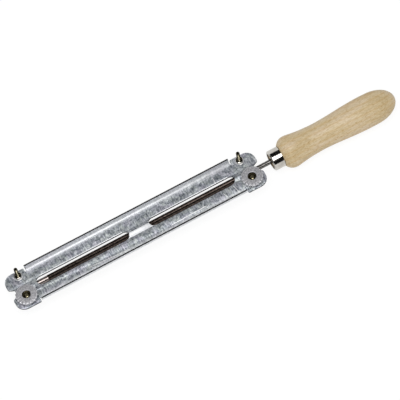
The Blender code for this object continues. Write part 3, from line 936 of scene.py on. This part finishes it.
def screw(name, place, tip):
    # slotted pan head below, and a real thread up to the chamfered end
    size = screwSizes
    x, y = place
    low = size["headUnder"] + size["neck"] - size["neckHides"]
    thread = windThread(place, low, tip)
    # a cone round the end turns the chamfer: wider than the thread by spare all the way down
    spare = 0.4
    full = size["major"] + spare
    chamfer = size["chamfer"]
    end = tip - 0.02
    sleeve = uprightPiece(
        "sleeve",
        [
            (low - 1, 0),
            (low - 1, full),
            (tip - chamfer - spare, full),
            (end, size["major"] - chamfer),
            (end, 0),
        ],
        place,
        0,
        size["sides"],
    )
    combine(thread, sleeve, "INTERSECT")
    outline = []
    for degrees in range(0, 91, 9):
        angle = math.radians(degrees)
        outline.append(
            (size["headUnder"] - size["headHeight"] * math.cos(angle), size["headRadius"] * math.sin(angle))
        )
    neckEnd = low + size["neckEnd"]
    outline += [(size["headUnder"], size["neckRadius"]), (neckEnd, size["neckRadius"]), (neckEnd, 0)]
    head = uprightPiece(name, outline, place, 0, size["sides"])
    combine(head, thread, "UNION")
    closeUp(head)
    fillGaps(head)
    # the driver's slot, cut by a box that starts 1 mm below the head
    bottom = size["headUnder"] - size["headHeight"]
    dropSelection()
    bpy.ops.mesh.primitive_cube_add(
        size=1,
        location=(x * mm, y * mm, (bottom + size["driveDepth"] / 2 - 0.5) * mm),
        scale=(size["driveLength"] * mm, size["driveWidth"] * mm, (size["driveDepth"] + 1) * mm),
    )
    combine(head, bpy.context.object, "DIFFERENCE")
    return settle(head, name, 30)


hexSizes = {
    "low": 16.5,
    "height": 2.4,
    "acrossFlats": 5.5,
    "face": 2.6,  # radius of the flat faces that the corners are turned down to
    "turnAngle": 30.0,
    "bore": 1.8,
    "boreChamfer": 0.3,
}


def hexNut(name, place):
    size = hexSizes
    x, y = place
    low, high = size["low"], size["low"] + size["height"]
    corner = size["acrossFlats"] / 2 / math.cos(math.radians(30))
    dropSelection()
    bpy.ops.mesh.primitive_cylinder_add(
        vertices=6,
        radius=corner * mm,
        depth=size["height"] * mm,
        location=(x * mm, y * mm, (low + size["height"] / 2) * mm),
        rotation=(0, 0, math.radians(30)),
    )
    nut = bpy.context.object
    wide = corner + 0.3  # the cone that turns the corners down starts outside them
    drop = (wide - size["face"]) * math.tan(math.radians(size["turnAngle"]))
    turnedDown = uprightPiece(
        "turnedDown",
        [
            (low - 0.01, 0),
            (low - 0.01, size["face"]),
            (low + drop, wide),
            (high - drop, wide),
            (high + 0.01, size["face"]),
            (high + 0.01, 0),
        ],
        place,
        0,
        72,
    )
    combine(nut, turnedDown, "INTERSECT")
    bore = size["bore"]
    lead = size["boreChamfer"]
    drill = uprightPiece(
        "drill",
        [
            (low - 1, 0),
            (low - 1, bore + lead + 1),
            (low + lead, bore),
            (high - lead, bore),
            (high + 1, bore + lead + 1),
            (high + 1, 0),
        ],
        place,
        0,
        48,
    )
    combine(nut, drill, "DIFFERENCE")
    closeUp(nut)
    return settle(nut, name, 30)


washerSizes = {"low": 15.7, "thickness": 0.5, "radius": 3.5, "bore": 1.8, "edge": 0.12}


def washer(name, place):
    size = washerSizes
    edge = size["edge"]
    thick = size["thickness"]
    outline = [
        (0, size["bore"]),
        (0, size["radius"] - edge),
        (edge, size["radius"]),
        (thick - edge, size["radius"]),
        (thick, size["radius"] - edge),
        (thick, size["bore"] + edge),
        (thick - edge, size["bore"]),
        (0, size["bore"]),
    ]
    return uprightPiece(name, outline, place, size["low"], 64)


discSizes = {
    "low": 15.7,
    "neckRadius": 3.2,
    "neckHeight": 2.8,
    "neckFillet": 0.6,
    "radius": 8.7,
    "thickness": 1.8,
    "mouthRadius": 3.4,
    "mouthLip": 0.22,
    "mouthDepth": 1.8,
    "mouthFloor": 0.5,  # radius between the mouth's wall and its floor
    "bore": 1.8,
    "boreChamfer": 0.3,
    "scallops": 20,
    "scallopRadius": 1.7,
    "scallopDepth": 0.58,
    "edge": 0.16,
    "sides": 120,
}


def knurledNut(name, place):
    # turned disc on a neck, with hollows ground round its rim
    size = discSizes
    neck = size["neckRadius"]
    under = size["neckHeight"]
    fillet = size["neckFillet"]
    top = under + size["thickness"]
    mouth = size["mouthRadius"]
    lip = size["mouthLip"]
    floor = size["mouthFloor"]
    bottom = top - size["mouthDepth"]
    outline = [(0, size["bore"]), (0, neck)]
    outline += arcLine((under - fillet, neck + fillet), fillet, -90, 0, 6)
    outline += [(under, size["radius"]), (top, size["radius"])]
    outline += arcLine((top - lip, mouth + lip), lip, 0, -90, 5)
    outline += arcLine((bottom + floor, mouth - floor), floor, 90, 180, 4)
    outline += [
        (bottom, size["bore"] + size["boreChamfer"]),
        (bottom - size["boreChamfer"], size["bore"]),
        (0, size["bore"]),
    ]
    disc = uprightPiece(name, outline, place, size["low"], size["sides"])
    centre = Vector((place[0], place[1], 0)) * mm
    # one round wheel for each hollow of the rim
    away = size["radius"] - size["scallopDepth"] + size["scallopRadius"]
    halfway = size["low"] + under + size["thickness"] / 2
    dropSelection()
    bpy.ops.mesh.primitive_cylinder_add(
        vertices=36,
        radius=size["scallopRadius"] * mm,
        depth=4 * mm,
        location=centre + Vector((away * mm, 0, halfway * mm)),
    )
    grinder = bpy.context.object
    bpy.ops.object.transform_apply(location=True, rotation=True, scale=True)
    wheels = [grinder]
    for step in range(1, size["scallops"]):
        wheel = grinder.copy()
        wheel.data = grinder.data.copy()
        turn = Matrix.Rotation(2 * math.pi * step / size["scallops"], 4, "Z")
        wheel.data.transform(Matrix.Translation(centre) @ turn @ Matrix.Translation(-centre))
        bpy.context.scene.collection.objects.link(wheel)
        wheels.append(wheel)
    pickOnly(grinder)
    for wheel in wheels:
        wheel.select_set(True)
    bpy.ops.object.join()
    combine(disc, grinder, "DIFFERENCE")
    closeUp(disc)
    breakEdges(disc, size["edge"], 50)
    return settle(disc, name, 35)


def mouthOf(place):
    # picks the faces of a disc's mouth and bore, drawn dark olive as painted shade in the recess
    def inside(centre, normal):
        out = Vector((centre.x - place[0], centre.y - place[1], 0))
        inward = normal.dot(out) < 0.3 * out.length
        return out.length < discSizes["mouthRadius"] + 0.05 and inward and normal.z > -0.5

    return inside


jawSizes = {"edge": 0.15}


def clamps():
    for end, places in clampPlaces.items():
        jaw = cadCopy(f"{end}_clamp_jaw", f"{end}Jaw")
        breakEdges(jaw, jawSizes["edge"], 50)
        jaw.data.materials.append(finishes["galvanised"])
        settle(jaw, f"{end}Jaw", 40)
        # each piece with its body, its CAD node, its slot and its finish
        pieces = [
            (jaw, f"{end}_jaw", f"{end}_clamp_jaw", "galvanised_steel", None),
            (
                screw(f"{end}ClampScrew", places["screw"], screwSizes["clampTip"]),
                f"{end}_jaw",
                f"{end}_clamp_screw",
                "zinc_yellow",
                "olive",
            ),
            (
                screw(f"{end}StudScrew", places["stud"], screwSizes["studTip"]),
                f"{end}_jaw",
                f"{end}_stud_screw",
                "zinc_yellow",
                "yellow",
            ),
            (hexNut(f"{end}HexNut", places["stud"]), f"{end}_hex", f"{end}_hex_nut", "zinc_yellow", "bright"),
            (washer(f"{end}Washer", places["stud"]), "guide", f"{end}_washer", "zinc_plate", "clear"),
            (
                knurledNut(f"{end}KnurledNut", places["screw"]),
                f"{end}_nut",
                f"{end}_knurled_nut",
                "zinc_plate",
                f"{end}Disc",
            ),
        ]
        for piece, body, node, slotName, finish in pieces:
            if finish:
                piece.data.materials.clear()
                piece.data.materials.append(finishes[finish])
            if finish == f"{end}Disc":
                markFaces(piece, finishes["oliveAndShade"], mouthOf(places["screw"]))
            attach(piece, body)
            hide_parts(node)
        print(end, "clamp:", len(pieces), "pieces")


# Floor, light and camera

view = {
    "azimuth": -14.95,
    "elevation": 61.0,
    "roll": -14.5,
    "pixelsPerMm": 1.308,
    # where the plate's middle lies in the 400 pixel image
    "plateMiddle": (136.6, 231.7),
    "lens": 280.0,
    "sensor": 36,
    "imageWidth": 400,
}


def viewAxes():
    azimuth, elevation, roll = (math.radians(view[key]) for key in ("azimuth", "elevation", "roll"))
    back = Vector(
        (
            math.sin(azimuth) * math.cos(elevation),
            -math.cos(azimuth) * math.cos(elevation),
            math.sin(elevation),
        )
    )
    level = Vector((math.cos(azimuth), math.sin(azimuth), 0))
    rise = back.cross(level)
    right = level * math.cos(roll) + rise * math.sin(roll)
    up = rise * math.cos(roll) - level * math.sin(roll)
    return right, up, back


def placeCamera():
    right, up, back = viewAxes()
    half = view["imageWidth"] / 2
    acrossX = (half - view["plateMiddle"][0]) / view["pixelsPerMm"] * mm
    acrossY = (view["plateMiddle"][1] - half) / view["pixelsPerMm"] * mm
    target = Vector((plateSizes["middleX"] * mm, 0, axisHeight * mm)) + right * acrossX + up * acrossY
    wide = view["imageWidth"] / view["pixelsPerMm"] * mm
    data = bpy.data.cameras.new("camera")
    data.lens = view["lens"]
    data.sensor_width = view["sensor"]
    data.clip_end = 50
    camera = bpy.data.objects.new("camera", data)
    bpy.context.scene.collection.objects.link(camera)
    distance = wide * view["lens"] / data.sensor_width
    turn = Matrix((right, up, back)).transposed().to_4x4()
    camera.matrix_world = Matrix.Translation(target + back * distance) @ turn
    bpy.context.scene.camera = camera
    return target, back


studio = {
    "boxTilt": 10.6,  # how far the softbox stands above the camera's direction, in degrees
    "boxDistance": 1.5,
    "boxAngle": 23.4,
    "boxRadiance": 3.75,
    "flagAngles": (24.0, 70.0),
    "flagDistance": 1.2,
    "flagTone": "#0e0e10",
    "worldLight": 0.42,
    "floorSize": 8,
    "floorGlow": 1.04,
    "floorMix": 0.85,
    "mirroredMix": 0.25,
}


def studioLight(target, back):
    # a big softbox just above the camera, black flags round it, and white all about
    back = Matrix.Rotation(math.radians(-studio["boxTilt"]), 3, "X") @ back
    radius = studio["boxDistance"] * math.tan(math.radians(studio["boxAngle"]))
    data = bpy.data.lights.new("softbox", "AREA")
    data.shape = "DISK"
    data.size = radius * 2
    data.energy = studio["boxRadiance"] * math.pi * math.pi * radius**2
    lamp = bpy.data.objects.new("softbox", data)
    bpy.context.scene.collection.objects.link(lamp)
    turn = back.to_track_quat("Z", "Y").to_matrix().to_4x4()
    lamp.matrix_world = Matrix.Translation(target + back * studio["boxDistance"]) @ turn
    lamp.visible_camera = False

    first, last = studio["flagAngles"]
    reach = studio["flagDistance"] / mm
    outline = arcLine((0, 0), reach, first, last, 12)
    side = back.orthogonal().normalized()
    flags = turnedPiece("flags", outline, target / mm, tuple(back), tuple(side), 64)
    flags.data.materials.append(finishes["flag"])
    flags.visible_camera = False
    flags.visible_diffuse = False
    flags.visible_transmission = False
    flags.visible_shadow = False
    flags.visible_volume_scatter = False

    world = bpy.data.worlds.new("studio")
    bpy.context.scene.world = world
    world.use_nodes = True
    tree = world.node_tree
    background = tree.nodes["Background"]
    background.inputs["Color"].default_value = toLinear("#ffffff")
    seen = seenDirectly(tree)
    level = addNode(
        tree,
        "ShaderNodeMapRange",
        {"Value": seen, "To Min": studio["worldLight"], "To Max": 1.0},
    )
    tree.links.new(level.outputs[0], background.inputs["Strength"])


def seenDirectly(tree):
    # 1 for what the camera, a reflection or glass shows, 0 for light that falls on things
    path = addNode(tree, "ShaderNodeLightPath")
    both = addNode(
        tree,
        "ShaderNodeMath",
        {0: path.outputs["Is Camera Ray"], 1: path.outputs["Is Glossy Ray"]},
        operation="MAXIMUM",
    )
    return addNode(
        tree,
        "ShaderNodeMath",
        {0: both, 1: path.outputs["Is Transmission Ray"]},
        operation="MAXIMUM",
    ).outputs[0]


def whiteFloor():
    dropSelection()
    bpy.ops.mesh.primitive_plane_add(size=studio["floorSize"], location=(0, 0, 0))
    floor = bpy.context.object
    floor.name = "floor"
    material, tree, shader = newFinish("whitePaper", "#fcfcfc", 0.0, 0.9)
    shader.inputs["Specular IOR Level"].default_value = 0.0
    glow = addNode(
        tree,
        "ShaderNodeEmission",
        {"Color": toLinear("#ffffff"), "Strength": studio["floorGlow"]},
    )
    # less of the glow in reflections, so that what lies under the plate stays in its shadow
    straightOn = addNode(tree, "ShaderNodeLightPath").outputs["Is Camera Ray"]
    share = addNode(
        tree,
        "ShaderNodeMapRange",
        {"Value": straightOn, "To Min": studio["mirroredMix"], "To Max": studio["floorMix"]},
    )
    factor = addNode(tree, "ShaderNodeMath", {0: seenDirectly(tree), 1: share}, operation="MULTIPLY")
    mixed = addNode(tree, "ShaderNodeMixShader", {0: factor, 1: shader, 2: glow})
    tree.links.new(mixed.outputs[0], tree.nodes["Material Output"].inputs["Surface"])
    floor.data.materials.append(material)


finishes = {
    "galvanised": galvanisedSteel(),
    "sheared": shearedEdge(),
    "file": fileSteel(),
    # polished nickel plate: a warm mirror with faint clouds
    "nickel": plainMetal("polishedNickel", "#d2cfc9", "#b8b4ad", 0.11, 6.0),
    "beech": beech(),
    # yellow passivated zinc gone dull on the studs, and pale olive on the clamp screws
    "yellow": plainMetal("yellowZinc", "#8e8873", "#3f3a2e", 0.22, 1.2),
    "olive": plainMetal("oliveZinc", "#c0b694", "#857d5c", 0.3, 1.5),
    # the discs' mouths: olive, drawn dark as painted shade in the recess
    "oliveAndShade": plainMetal("mouthOliveShade", "#4e4734", "#2a251b", 0.4, 1.0),
    # clear zinc: near white on the washers, glossy and warmer on the hex nuts
    "clear": plainMetal("clearZinc", "#f4f5f7", "#dcdee2", 0.25, 2.0, 0.45),
    "bright": plainMetal("brightZinc", "#dedad3", "#8f8a82", 0.14, 1.5),
    "tipDisc": satinZinc("tipDiscZinc", (*clampPlaces["tip"]["screw"], 0)),
    "tangDisc": satinZinc("tangDiscZinc", (*clampPlaces["tang"]["screw"], 0)),
    "flag": newFinish("blackFlag", studio["flagTone"], 0.0, 1.0)[0],
}
print("finishes:", len(finishes))

bpy.context.scene.view_settings.view_transform = "Standard"
target, back = placeCamera()
whiteFloor()
studioLight(target, back)
print("studio")

guidePlate()
roundFile()
ferrule()
handle()
clamps()
